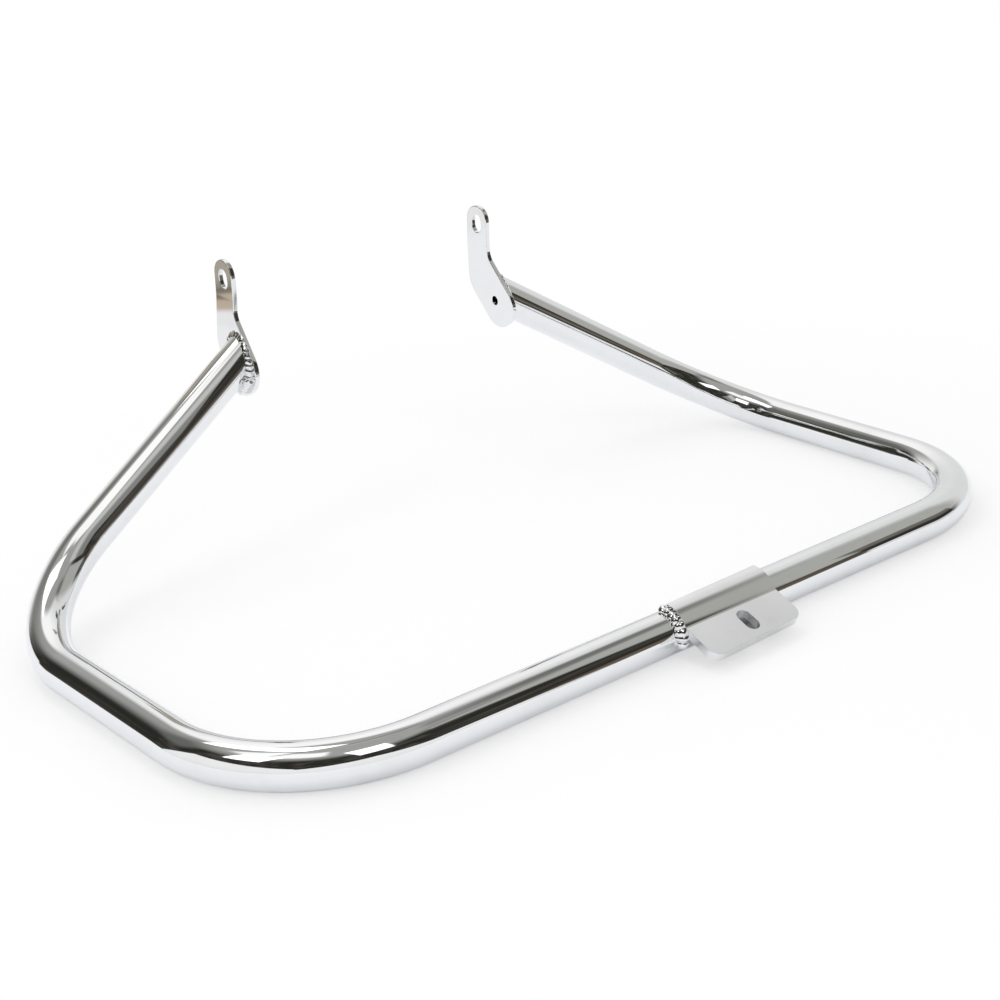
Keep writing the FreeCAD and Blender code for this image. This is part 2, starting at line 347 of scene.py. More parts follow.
@dataclass(frozen=True)
class ChromeFinish:
    """Polished chrome plating over steel, with lengths in millimetres.

    Its bands of light come from its surroundings, and the finish gives its tone, its slight
    unevenness and the traces of its polishing.
    """

    name: str
    slot: str
    tone: Triple = (0.80, 0.803, 0.805)
    shade: Triple = (0.70, 0.70, 0.695)
    roughness: float = 0.045
    haze: float = 0.05
    ripple_mm: float = 0.04
    ripple_scale: float = 22.0
    grain_mm: float = 0.0004
    grain_scale: float = 900.0
    cloud_scale: float = 9.0
    cloud_edges: Pair = (0.45, 0.75)
    cloud_share: float = 0.55
    mottle_scale: float = 60.0
    mottle_edges: Pair = (0.5, 0.8)
    mottle_share: float = 0.25
    grain_share: float = 0.3

    def material(self) -> Material:
        """The finish as a material."""
        material, shader, place = new_material(self.name)
        cloud = shader.noise(place, self.cloud_scale, 3.0, 0.55).step(*self.cloud_edges)
        mottle = shader.noise(place, self.mottle_scale, 3.0, 0.6).step(*self.mottle_edges)
        worn = cloud * self.cloud_share + mottle * self.mottle_share
        grain = shader.noise(place, self.grain_scale)
        tone = shader.blend(worn, self.tone, self.shade)
        rough = self.roughness + worn * self.haze + grain * (self.haze * self.grain_share)
        swell = shader.noise(place, self.ripple_scale, 1.0, 0.4)
        broad = shader.node("Bump", None, {
            "Strength": 1.0, "Distance": self.ripple_mm * MM, "Height": swell})
        fine = shader.node("Bump", None, {
            "Strength": 1.0, "Distance": self.grain_mm * MM, "Height": grain,
            "Normal": broad.out()})
        body = shader.node("BsdfPrincipled", None, {
            "Base Color": tone, "Metallic": 1.0, "Roughness": rough, "Normal": fine.out()})
        shader.node("OutputMaterial", None, {"Surface": body.out()})
        return material

    def dress(self, piece: Object) -> None:
        """Puts the finish on a piece."""
        piece.data.materials.clear()
        piece.data.materials.append(self.material())


TUBE_CHROME = ChromeFinish("tube_chrome", "tube_chrome")
PLATE_CHROME = ChromeFinish(
    "plate_chrome", "plate_chrome", tone=(0.79, 0.79, 0.79), roughness=0.06, haze=0.08,
    ripple_mm=0.03, ripple_scale=30.0, grain_mm=0.0015)
WELD_CHROME = ChromeFinish(
    "weld_chrome", "weld_chrome", roughness=0.04, ripple_mm=0.14, ripple_scale=480.0)


@dataclass
class TubeRoute:
    """Where the bent tube runs, in millimetres about the crossbar's axis."""

    od: float = 31.75
    wall: float = 2.5
    front_half_span: float = 348.0
    rear_half_span: float = 368.0
    side_depth: float = 351.0
    front_bend_radius: float = 116.0
    rear_bend_radius: float = 104.0
    tab_gap: float = 250.0
    tab_thickness: float = 4.0
    slot_setback: float = 402.0
    slot_height: float = 213.0
    fold_drop: float = 15.0
    fold_angle: float = 3.4
    foot_ahead: float = 14.3
    foot_drop: float = 62.9

    @property
    def radius(self) -> float:
        """Outside radius of the tube."""
        return self.od / 2

    @property
    def fold_z(self) -> float:
        """Height of the tabs' fold."""
        return self.slot_height - self.fold_drop

    @property
    def foot_out(self) -> Vector:
        """Direction out of the right tab's foot."""
        turn = math.radians(self.fold_angle)
        return Vector((math.cos(turn), 0, math.sin(turn)))

    @property
    def foot_down(self) -> Vector:
        """Direction down along the right tab's foot."""
        turn = math.radians(self.fold_angle)
        return Vector((math.sin(turn), 0, -math.cos(turn)))

    @property
    def end(self) -> Vector:
        """Middle of the right arm's end, on the tab's outer face."""
        z = self.slot_height - self.foot_drop
        lean = (self.fold_z - z) * math.tan(math.radians(self.fold_angle))
        x = self.tab_gap / 2 + self.tab_thickness + lean
        return Vector((x, self.slot_setback - self.foot_ahead, z))

    @property
    def front(self) -> Vector:
        """Where the crossbar's and the right side run's middles would meet."""
        return Vector((self.front_half_span, 0, 0))

    @property
    def rear(self) -> Vector:
        """Where the right side run's and the right arm's middles would meet."""
        return Vector((self.rear_half_span, self.side_depth, 0))

    @property
    def arm(self) -> Vector:
        """Direction of the right arm, towards its tab."""
        return (self.end - self.rear).normalized()


@dataclass
class Setting:
    """Places the guard's own sizes in the row's frame."""

    route: TubeRoute = field(default_factory=TubeRoute)
    crossbar_y: float = 0.0

    def read(self) -> "Setting":
        """Takes the crossbar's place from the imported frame."""
        self.crossbar_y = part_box("guard_tube")[0].y / MM + self.route.radius
        return self

    def place(self, point: Vector) -> Vector:
        """Point in metres in the row's frame, from millimetres about the crossbar's axis."""
        y = point.y + self.crossbar_y
        return Vector((point.x, y, point.z + self.route.radius)) * MM


@dataclass
class GuardTube:
    """The bent tube: crossbar, two side runs and two arms, open at its ends."""

    setting: Setting
    facets: int = 128
    bend_steps: int = 48
    trim_block: float = 0.12

    def bend(self, bench: Bench, before: Vector, corner: Vector, after: Vector,
             radius: float) -> Vector:
        """Extrudes the selected ring to a bend and sweeps it through the bend.

        The two straight runs would meet at the corner. The ring's middle is given before the
        bend and returned after it, and the bend's radius is on the tube's middle.
        """
        back = (before - corner).normalized()
        ahead = (after - corner).normalized()
        half = back.angle(ahead) / 2
        reach = radius / math.tan(half)
        start = corner + back * reach
        centre = corner + (back + ahead).normalized() * (radius / math.sin(half))
        bench.extrude((start - before) * MM)
        axis = (start - centre).cross(-back).normalized()
        bench.spin(math.pi - 2 * half, self.bend_steps, self.setting.place(centre), axis)
        return corner + ahead * reach

    def build(self) -> Object:
        """Models the tube and returns it finished."""
        route = self.setting.route
        bench = Bench("bent_tube")
        bpy.ops.mesh.primitive_circle_add(
            vertices=self.facets, radius=route.radius * MM, fill_type="NOTHING",
            location=self.setting.place(Vector((0, 0, 0))), rotation=(0, math.pi / 2, 0))
        bench.adopt()
        Bench.apply()
        bench.edit()
        Bench.pick_all()
        spot = self.bend(bench, Vector((0, 0, 0)), route.front, route.rear, route.front_bend_radius)
        spot = self.bend(bench, spot, route.rear, route.end, route.rear_bend_radius)
        past_the_tab = route.arm * (2 * route.od)
        bench.extrude((route.end + past_the_tab - spot) * MM)
        bench.heal()
        seam = 10 * SAME_PLACE
        bench.modifier("MIRROR", {"use_axis": (True, False, False), "merge_threshold": seam})
        bench.edit()
        bench.heal(seam)
        bench.modifier("SOLIDIFY", {
            "thickness": route.wall * MM, "offset": -1.0, "use_even_offset": True})
        for side in Side:
            outward = Vector((side.value * route.foot_out.x, 0, route.foot_out.z))
            point = Vector((side.value * route.end.x, route.end.y, route.end.z))
            bench.cut(block_tool(self.setting.place(point), -outward, Vector((0, 1, 0)),
                                 self.trim_block))
        return bench.settle()


@dataclass
class EndTab:
    """Slotted dog-leg plate on the end of one arm."""

    setting: Setting
    side: Side
    neck_width: float = 28.0
    top_radius: float = 13.0
    top_rise: float = 15.6
    front_slant: float = 5.8
    back_slant: float = 7.6
    slot_width: float = 13.0
    slot_length: float = 16.0
    foot_slant: float = 38.3
    front_margin: float = 2.6
    back_margin: float = 8.0
    sole_margin: float = 14.3
    sole_slope: float = 31.0
    neck_radius: float = 13.0
    toe_radius: float = 19.0
    sole_radius: float = 19.0
    heel_radius: float = 20.0
    vent_diameter: float = 8.0
    vent_drop: float = 5.5
    fold_half_length: float = 1.2
    corner_segments: int = 14
    edge_rounding: float = 0.6

    @staticmethod
    def line(centre: Pair, distance: float, degrees: float) -> Tuple[Vector, Vector]:
        """Line in the tab's outline, as a point on it and its direction, in Y and Z.

        It passes the centre at a distance, positive behind it, and runs forwards from upright
        by the degrees as it goes down.
        """
        turn = math.radians(degrees)
        across = Vector((math.cos(turn), -math.sin(turn)))
        along = Vector((-math.sin(turn), -math.cos(turn)))
        return Vector(centre) + across * distance, along

    @staticmethod
    def crossing(line: Tuple[Vector, Vector], other: Tuple[Vector, Vector]) -> Vector:
        """Point where two lines of the outline cross."""
        gap = other[0] - line[0]
        turn = line[1].cross(other[1])
        return line[0] + line[1] * (gap.cross(other[1]) / turn)

    def corners(self) -> List[Tuple[Vector, float]]:
        """The outline's sharp corners in order, each with its rounding."""
        route = self.setting.route
        slot = (route.slot_setback, route.slot_height)
        foot = (route.end.y, route.end.z)
        top = self.line(slot, -self.top_rise, 90)
        neck_front = self.line(slot, -self.neck_width / 2, -self.front_slant)
        neck_back = self.line(slot, self.neck_width / 2, -self.back_slant)
        foot_front = self.line(foot, -route.radius - self.front_margin, self.foot_slant)
        foot_back = self.line(foot, route.radius + self.back_margin, self.foot_slant)
        sole = self.line(foot, -route.radius - self.sole_margin, self.sole_slope - 90)
        return [
            (self.crossing(neck_front, top), self.top_radius),
            (self.crossing(neck_front, foot_front), self.neck_radius),
            (self.crossing(foot_front, sole), self.toe_radius),
            (self.crossing(foot_back, sole), self.sole_radius),
            (self.crossing(neck_back, foot_back), self.heel_radius),
            (self.crossing(neck_back, top), self.top_radius),
        ]

    def outline(self, bench: Bench) -> None:
        """Shapes a six-cornered face into the tab's outline, on the tab's inner plane."""
        corners = self.corners()
        x = self.setting.route.tab_gap / 2
        bpy.ops.mesh.primitive_circle_add(vertices=len(corners), radius=0.03, fill_type="NGON")
        bench.adopt()
        bench.edit()
        bpy.ops.object.mode_set(mode="OBJECT")
        places = [vertex.co.copy() for vertex in bench.obj.data.vertices]
        targets = [self.setting.place(Vector((x, spot.x, spot.y))) for spot, _ in corners]
        bpy.ops.object.mode_set(mode="EDIT")
        for place, target in zip(places, targets):
            bench.pick(lambda co, place=place: (co - place).length < SAME_PLACE)
            bench.move(target - place)
        for number, target in enumerate(targets):
            before = (targets[number - 1] - target).normalized()
            after = (targets[(number + 1) % len(targets)] - target).normalized()
            reach = corners[number][1] * MM / math.tan(before.angle(after) / 2)
            bench.pick(lambda co, target=target: (co - target).length < SAME_PLACE)
            bpy.ops.mesh.bevel(offset_type="OFFSET", offset=reach, affect="VERTICES",
                               segments=self.corner_segments)

    def fold(self, bench: Bench) -> None:
        """Leans the foot outwards below the fold."""
        route = self.setting.route
        for offset in (self.fold_half_length, -self.fold_half_length):
            Bench.pick_all()
            spot = self.setting.place(Vector((0, 0, route.fold_z + offset)))
            bpy.ops.mesh.bisect(plane_co=spot, plane_no=(0, 0, 1))
        x = route.tab_gap / 2 + route.tab_thickness
        hinge = self.setting.place(Vector((x, 0, route.fold_z)))
        bench.pick(lambda co: co.z < hinge.z)
        bench.turn(-math.radians(route.fold_angle), "Y", hinge)

    def build(self) -> Object:
        """Models the tab and returns it finished."""
        route = self.setting.route
        bench = Bench(f"{self.side.name.lower()}_end_tab")
        self.outline(bench)
        Bench.pick_all()
        bench.extrude(Vector((route.tab_thickness, 0, 0)) * MM)
        self.fold(bench)
        bench.heal()
        slot = Vector((route.tab_gap / 2 + route.tab_thickness / 2, route.slot_setback,
                       route.slot_height))
        depth = 4 * route.tab_thickness * MM
        tool = slot_tool(self.setting.place(slot), Vector((0, 0, 1)), Vector((1, 0, 0)),
                         self.slot_length * MM, self.slot_width * MM, depth)
        bench.cut(tool)
        vent = route.end + route.foot_down * self.vent_drop
        tool = slot_tool(self.setting.place(vent), route.foot_down, route.foot_out,
                         self.vent_diameter * MM, self.vent_diameter * MM, depth)
        bench.cut(tool)
        bench.round_edges(self.edge_rounding)
        if self.side is Side.LEFT:
            bench.obj.scale.x = -1
            Bench.apply()
            bench.edit()
            bench.heal()
        return bench.settle(flat_faces=True)


@dataclass
class SaddlePlate:
    """Thick slotted plate rolled round the crossbar and folded out into a flange."""

    setting: Setting
    thickness: float = 6.35
    width: float = 87.3
    offset: float = 10.2
    clearance: float = 0.1
    back_set: float = 0.2
    skew: float = 1.7
    root_angle: float = 28.4
    slope: float = 22.9
    fold_radius: float = 2.0
    length: float = 29.3
    corner_radius: float = 9.1
    slot_width: float = 11.0
    slot_length: float = 19.0
    slot_setback: float = 15.9
    slot_offset: float = 2.6
    blank_angle: float = 120.0
    fold_steps: int = 14
    bend_steps: int = 48
    corner_segments: int = 16
    corner_reach: float = 4.0
    edge_rounding: float = 1.5
    trim_block: float = 0.2

    @property
    def outer(self) -> float:
        """Outside radius of the plate's bend over the tube."""
        return self.setting.route.radius + self.clearance + self.thickness

    @property
    def down(self) -> Vector:
        """Direction down along the flange."""
        turn = math.radians(self.slope)
        return Vector((0, -math.cos(turn), -math.sin(turn)))

    @property
    def up(self) -> Vector:
        """Direction up out of the flange."""
        turn = math.radians(self.slope)
        return Vector((0, -math.sin(turn), math.cos(turn)))

    @property
    def fold_centre(self) -> Vector:
        """Middle of the small fold between bend and flange."""
        turn = math.radians(self.root_angle)
        reach = self.outer + self.fold_radius
        return Vector((self.offset, -reach * math.cos(turn), reach * math.sin(turn)))

    @property
    def front(self) -> Vector:
        """Middle of the flange's front edge, on its upper face."""
        return self.fold_centre - self.up * self.fold_radius + self.down * self.length

    @property
    def left(self) -> float:
        """Place of the plate's left end."""
        return self.offset - self.width / 2

    def build(self) -> Object:
        """Models the plate and returns it finished."""
        bench = Bench("saddle_plate")
        run = self.length + self.width * math.tan(math.radians(self.skew))
        middle = self.front + self.down * (run - self.length) - self.up * (self.thickness / 2)
        across = Vector((1, 0, 0))
        turn = facing(across, self.up, self.down)
        bpy.ops.mesh.primitive_plane_add(size=1.0)
        plate = bench.adopt()
        section = Matrix.Diagonal((self.width * MM, self.thickness * MM, 1, 1))
        plate.matrix_world = Matrix.Translation(self.setting.place(middle)) @ turn @ section
        Bench.apply()
        bench.edit()
        Bench.pick_all()
        bench.extrude(-self.down * (run * MM))
        fold_turn = math.radians(90 - self.root_angle) - math.radians(self.slope)
        bench.spin(fold_turn, self.fold_steps, self.setting.place(self.fold_centre), across)
        bend_turn = math.radians(self.blank_angle - self.root_angle)
        bench.spin(-bend_turn, self.bend_steps, self.setting.place(Vector((0, 0, 0))), across)
        bench.heal()
        for tool in self.trimming_tools():
            bench.cut(tool)
        bench.edit()
        self.round_corners(bench)
        bench.heal()
        slot = self.front - self.down * self.slot_setback + across * self.slot_offset
        tool = slot_tool(self.setting.place(slot), self.down, self.up, self.slot_length * MM,
                         self.slot_width * MM, 4 * self.thickness * MM)
        bench.cut(tool)
        bench.round_edges(self.edge_rounding)
        return bench.settle(flat_faces=True)

    def trimming_tools(self) -> List[Object]:
        """Blocks that trim the front and back edges a little askew."""
        turn = math.radians(self.skew)
        across = Vector((1, 0, 0))
        along = across * math.cos(turn) - self.down * math.sin(turn)
        ahead = self.down * math.cos(turn) + across * math.sin(turn)
        behind = Vector((-math.sin(turn), math.cos(turn), 0))
        back = Vector((self.offset, -self.back_set, 0))
        return [
            block_tool(self.setting.place(self.front), ahead, along, self.trim_block),
            block_tool(self.setting.place(back), behind, Vector((0, 0, 1)), self.trim_block),
        ]

    def round_corners(self, bench: Bench) -> None:
        """Rounds the flange's two front corners."""
        front = self.setting.place(self.front)

        def at_corner(first: Vector, last: Vector) -> bool:
            """Whether an edge crosses the plate's thickness at the flange's front."""
            along = (last - first).normalized()
            near = abs(((first + last) / 2 - front).dot(self.down)) < self.corner_reach * MM
            nearly_parallel = 0.99
            return near and abs(along.dot(self.up)) > nearly_parallel

        bench.pick_edges(at_corner)
        bpy.ops.mesh.bevel(offset_type="OFFSET", offset=self.corner_radius * MM, affect="EDGES",
                           segments=self.corner_segments)


@dataclass
class WeldBead:
    """Bead made of overlapping ripples, melted into one skin."""

    setting: Setting
    name: str
    seed: int
    voxel: float = 0.32
    sunk: float = 0.3

    def ripple(self, spot: Vector, along: Vector, out: Vector, size: Triple) -> Object:
        """One flattened ripple, from half its length, width and height in millimetres."""
        bpy.ops.mesh.primitive_uv_sphere_add(segments=20, ring_count=12, radius=MM)
        ripple = bpy.context.object
        side = out.cross(along).normalized()
        out = along.cross(side).normalized()
        turn = facing(along.normalized(), side, out)
        stretch = Matrix.Diagonal((*size, 1))
        ripple.matrix_world = Matrix.Translation(self.setting.place(spot)) @ turn @ stretch
        return ripple

    def melt(self, ripples: Sequence[Object]) -> Object:
        """Joins the ripples and remeshes them into one closed skin."""
        bench = Bench(self.name)
        for ripple in ripples:
            ripple.select_set(True)
        bpy.context.view_layer.objects.active = ripples[0]
        Bench.apply()
        bpy.ops.object.join()
        bench.adopt()
        bench.modifier("REMESH", {"mode": "VOXEL", "voxel_size": self.voxel * MM})
        bench.modifier("SMOOTH", {"factor": 0.5, "iterations": 3})
        return bench.settle(180.0)


@dataclass
class TabWeld(WeldBead):
    """Bead between one arm's end and its tab, heaped up in the sharp corner below."""

    side: Side = Side.RIGHT
    pitch: float = 4.6
    leg: float = 3.5
    lower_extra: float = 6.4
    crown: float = 0.7
    joint_oval: float = 1.25
    foot_sharpness: int = 7
    spacing_jitter: float = 0.3
    leg_jitter: float = 0.12
    tilt: float = 0.45
    ripple_lengths: Pair = (0.6, 0.95)
    crown_shares: Pair = (0.3, 1.4)
    lumps: int = 40
    lump_arc: float = 1.0
    lump_aside: float = 0.55
    lump_sizes: Pair = (1.0, 2.4)
    lump_heights: Pair = (0.7, 0.95)

    def joint(self, angle: float) -> Tuple[Vector, Vector, Vector, float]:
        """Corner between the right arm and its tab, at an angle round it from its lowest.

        It gives the place, the bead's direction there, the direction out of the corner, and
        half of the corner's angle.
        """
        route = self.setting.route
        slope = -route.arm.dot(route.foot_out)
        down = -(route.arm + route.foot_out * slope).normalized()
        across = down.cross(route.foot_out)
        tall = down * (math.cos(angle) * route.radius / slope)
        rim = tall + across * (math.sin(angle) * route.radius)
        along = (across * (math.cos(angle) * route.radius)
                 - down * (math.sin(angle) * route.radius / slope)).normalized()
        on_face = along.cross(route.foot_out).normalized()
        if on_face.dot(rim) < 0:
            on_face = -on_face
        on_tube = (-route.arm + along * route.arm.dot(along)).normalized()
        out = (on_face + on_tube).normalized()
        return route.end + rim, along, out, on_face.angle(on_tube) / 2

    def leg_at(self, angle: float) -> float:
        """How wide the bead is at one place round the arm's end."""
        low = (1 + math.cos(angle)) / 2
        return self.leg + self.lower_extra * low ** self.foot_sharpness

    def build(self) -> Object:
        """Models the bead and returns it finished."""
        Bench.clear()
        chance = random.Random(self.seed)
        mirror = Vector((self.side.value, 1, 1))

        def spread(reach: float) -> float:
            """Chance number within a reach either side of 0."""
            return chance.uniform(-reach, reach)

        steps = int(math.tau * self.joint_oval * self.setting.route.radius / self.pitch)
        ripples = []
        for number in range(steps):
            angle = math.tau * (number + spread(self.spacing_jitter)) / steps
            spot, along, out, half = self.joint(angle)
            leg = self.leg_at(angle) * (1 + spread(self.leg_jitter))
            rise = leg * math.cos(half)
            size = (self.pitch * chance.uniform(*self.ripple_lengths),
                    leg * math.sin(half) + self.sunk,
                    rise / 2 + self.crown * chance.uniform(*self.crown_shares))
            middle = (spot + out * (rise / 2)) * mirror
            tilt = (along + out.cross(along) * spread(self.tilt)) * mirror
            ripples.append(self.ripple(middle, tilt.normalized(), out * mirror, size))
        for _ in range(self.lumps):
            angle = spread(self.lump_arc)
            spot, along, out, half = self.joint(angle)
            leg = self.leg_at(angle)
            aside = out.cross(along) * (leg * math.sin(half) * spread(self.lump_aside))
            size = tuple(chance.uniform(*self.lump_sizes) for _ in range(3))
            height = leg * math.cos(half) * chance.uniform(*self.lump_heights)
            middle = (spot + out * height + aside) * mirror
            ripples.append(self.ripple(middle, along * mirror, out * mirror, size))
        return self.melt(ripples)


@dataclass
class SaddleWeld(WeldBead):
    """Bead round the crossbar at the saddle plate's left end."""

    plate: Optional[SaddlePlate] = None
    low_angle: float = -9.0
    high_angle: float = 92.0
    leg: float = 5.9
    pitch: float = 5.0
    crown: float = 0.9
    tilt: float = 0.5
    leg_jitter: float = 0.14
    ripple_lengths: Pair = (0.6, 0.8)
    crown_shares: Pair = (0.6, 1.3)

    def build(self) -> Object:
        """Models the bead and returns it finished."""
        Bench.clear()
        route = self.setting.route
        chance = random.Random(self.seed)
        arc = math.radians(self.high_angle - self.low_angle) * (route.radius + self.leg / 2)
        steps = round(arc / self.pitch)
        ripples = []
        for number in range(steps + 1):
            share = number / steps
            turn = math.radians(self.low_angle + (self.high_angle - self.low_angle) * share)
            out = Vector((0, -math.cos(turn), math.sin(turn)))
            tilt = chance.uniform(-self.tilt, self.tilt)
            along = Vector((tilt, math.sin(turn), math.cos(turn)))
            leg = self.leg * (1 + chance.uniform(-self.leg_jitter, self.leg_jitter))
            face = (out + Vector((-1, 0, 0))).normalized()
            rise = leg * math.sqrt(0.5)
            corner = out * route.radius + Vector((self.plate.left, 0, 0))
            size = (self.pitch * chance.uniform(*self.ripple_lengths), rise + self.sunk,
                    rise / 2 + self.crown * chance.uniform(*self.crown_shares))
            ripples.append(self.ripple(corner + face * (rise / 2), along.normalized(), face, size))
        return self.melt(ripples)


@dataclass(frozen=True)
class StudioLight:
    """One softbox, in metres, with the glow of its face in the chrome, white at 1."""

    name: str
    place: Triple
    aim: Triple
    size: Pair
    glow: float

    def hang(self) -> Object:
        """Adds the softbox as an area lamp."""
        lamp = bpy.data.lights.new(self.name, "AREA")
        lamp.shape = "RECTANGLE"
        lamp.size, lamp.size_y = self.size
        lamp.energy = self.glow * math.pi * self.size[0] * self.size[1]
        obj = bpy.data.objects.new(self.name, lamp)
        bpy.context.scene.collection.objects.link(obj)
        way = Vector(self.aim) - Vector(self.place)
        obj.location = self.place
        obj.rotation_euler = way.to_track_quat("-Z", "Y").to_euler()
        obj.visible_camera = False
        return obj


@dataclass(frozen=True)
class Card:
    """Upright screen that only the chrome sees, in metres.

    It stands on a line from start to end, and its upper edge has a height at each. Its tones
    start at heights, white at 1, and its lower edge fades in over the soft height.
    """

    name: str
    start: Pair
    end: Pair
    bottom: float
    tops: Pair
    tones: Tuple[Tuple[float, Triple], ...]
    soft: float = 0.0

    def glow(self) -> Material:
        """The card's tones as a material."""
        material, shader, place = new_material(self.name)
        height = shader.node("SeparateXYZ", None, {0: place}).out("Z")
        level, tone = self.tones[0]
        for next_level, next_tone in self.tones[1:]:
            tone = shader.blend(height.step(level, next_level), tone, next_tone)
            level = next_level
        light = shader.node("Emission", None, {"Color": tone, "Strength": 1.0})
        if self.soft:
            clear = shader.node("BsdfTransparent")
            share = height.step(self.bottom, self.bottom + self.soft)
            light = shader.node("MixShader", None, {
                0: share, 1: clear.out(), 2: light.out()})
        shader.node("OutputMaterial", None, {"Surface": light.out()})
        return material

    def stand(self) -> Object:
        """Adds the card as scenery and returns it."""
        bench = Bench(self.name)
        bpy.ops.mesh.primitive_plane_add(size=1.0, rotation=(math.pi / 2, 0, 0))
        card = bench.adopt()
        Bench.apply()
        bench.edit()
        for end, spot, top in ((-1, self.start, self.tops[0]), (1, self.end, self.tops[1])):
            for level, height in ((-1, self.bottom), (1, top)):
                place = Vector((end / 2, 0, level / 2))
                bench.pick(lambda co, place=place: (co - place).length < SAME_PLACE)
                bench.move(Vector((*spot, height)) - place)
        bpy.ops.object.mode_set(mode="OBJECT")
        card.data.materials.append(self.glow())
        for ray in ("camera", "diffuse", "shadow", "transmission"):
            setattr(card, f"visible_{ray}", False)
        return card


LIP_TONES = ((0.0, (0.97, 0.97, 0.98)), (0.1, (1.03, 1.03, 1.03)))


@dataclass(frozen=True)
class Zone:
    """Part of the surroundings, between soft edges in degrees.

    Each edge runs from where the zone isn't seen to where it is. Heights are over the horizon,
    and sides are headings from +X towards +Y.
    """

    name: str
    tone: Triple
    heights: Tuple[Pair, ...] = ()
    sides: Tuple[Pair, ...] = ()

    def share(self, swing: Value, rise: Value) -> Value:
        """How much of the zone is seen at a heading and a height."""
        parts = [rise.step(*edge) for edge in self.heights]
        parts += [swing.step(*edge) for edge in self.sides]
        share = parts.pop(0)
        for part in parts:
            share = share * part
        return share


@dataclass(frozen=True)
class Room:
    """Surroundings that only the chrome sees. The backdrop's sides are the camera's."""

    dark: Triple = (0.026, 0.026, 0.022)
    mottle: Triple = (0.075, 0.068, 0.058)
    mottle_scale: float = 6.0
    mottle_edges: Pair = (0.42, 0.7)
    zones: Tuple[Zone, ...] = (
        Zone("wall", (0.15, 0.155, 0.14), ((24, 36),), ((90, 102), (146, 134))),
        Zone("ceiling", (0.42, 0.42, 0.405), ((44, 60),)),
        Zone("screen", (0.47, 0.475, 0.445), ((9, 14), (56, 48)), ((-48.3, -45.3), (5.5, 2.5))),
        Zone("gap", (0.20, 0.20, 0.19), ((45, 55), (67, 57)), ((-32, -16), (16, 0))),
        Zone("curtain", (0.38, 0.38, 0.365), ((0, 12),), ((118, 93), (60, 70))),
        Zone("brown", (0.15, 0.115, 0.085), ((-10.5, -5.5), (9.5, 4.5)), ((-62, -54), (-40, -48))),
        Zone("window", (1.05, 1.05, 1.03), ((38, 2),), ((64, 76), (110, 98))),
    )
    overhead: Tuple[Zone, ...] = (
        Zone("left_rear", (1.22, 1.22, 1.2), ((58, 64), (81, 75)), ((126, 135),)),
        Zone("left_front", (1.22, 1.22, 1.2), ((58, 64), (81, 75)), ((-121, -130),)),
    )
    backdrop_low: Triple = (0.84, 0.845, 0.845)
    backdrop_high: Triple = (1.15, 1.15, 1.14)
    high_edges: Tuple[Pair, Pair] = ((8, 46), (15, 60))
    backdrop_top: Pair = (62, 54)
    right_side: Pair = (-31, -9)
    right_lean: float = 0.5
    left_side: Pair = (66, 54)
    left_lean: float = 0.6

    def colour(self, shader: Shader, way: Value, swing: Value, rise: Value) -> Value:
        """Colour that the chrome sees along a ray, from its heading and height in degrees."""
        mottle = shader.noise(way, self.mottle_scale, 3.0).step(*self.mottle_edges)
        colour = shader.blend(mottle, self.dark, self.mottle)
        for zone in self.zones:
            colour = shader.blend(zone.share(swing, rise), colour, zone.tone)
        lit = rise.step(*self.high_edges[0]) * swing.step(*self.high_edges[1])
        backdrop = shader.blend(lit, self.backdrop_low, self.backdrop_high)
        right = (swing - rise * self.right_lean).step(*self.right_side)
        left = (swing - rise * self.left_lean).step(*self.left_side)
        colour = shader.blend(right * left * rise.step(*self.backdrop_top), colour, backdrop)
        for zone in self.overhead:
            colour = shader.blend(zone.share(swing, rise), colour, zone.tone)
        return colour


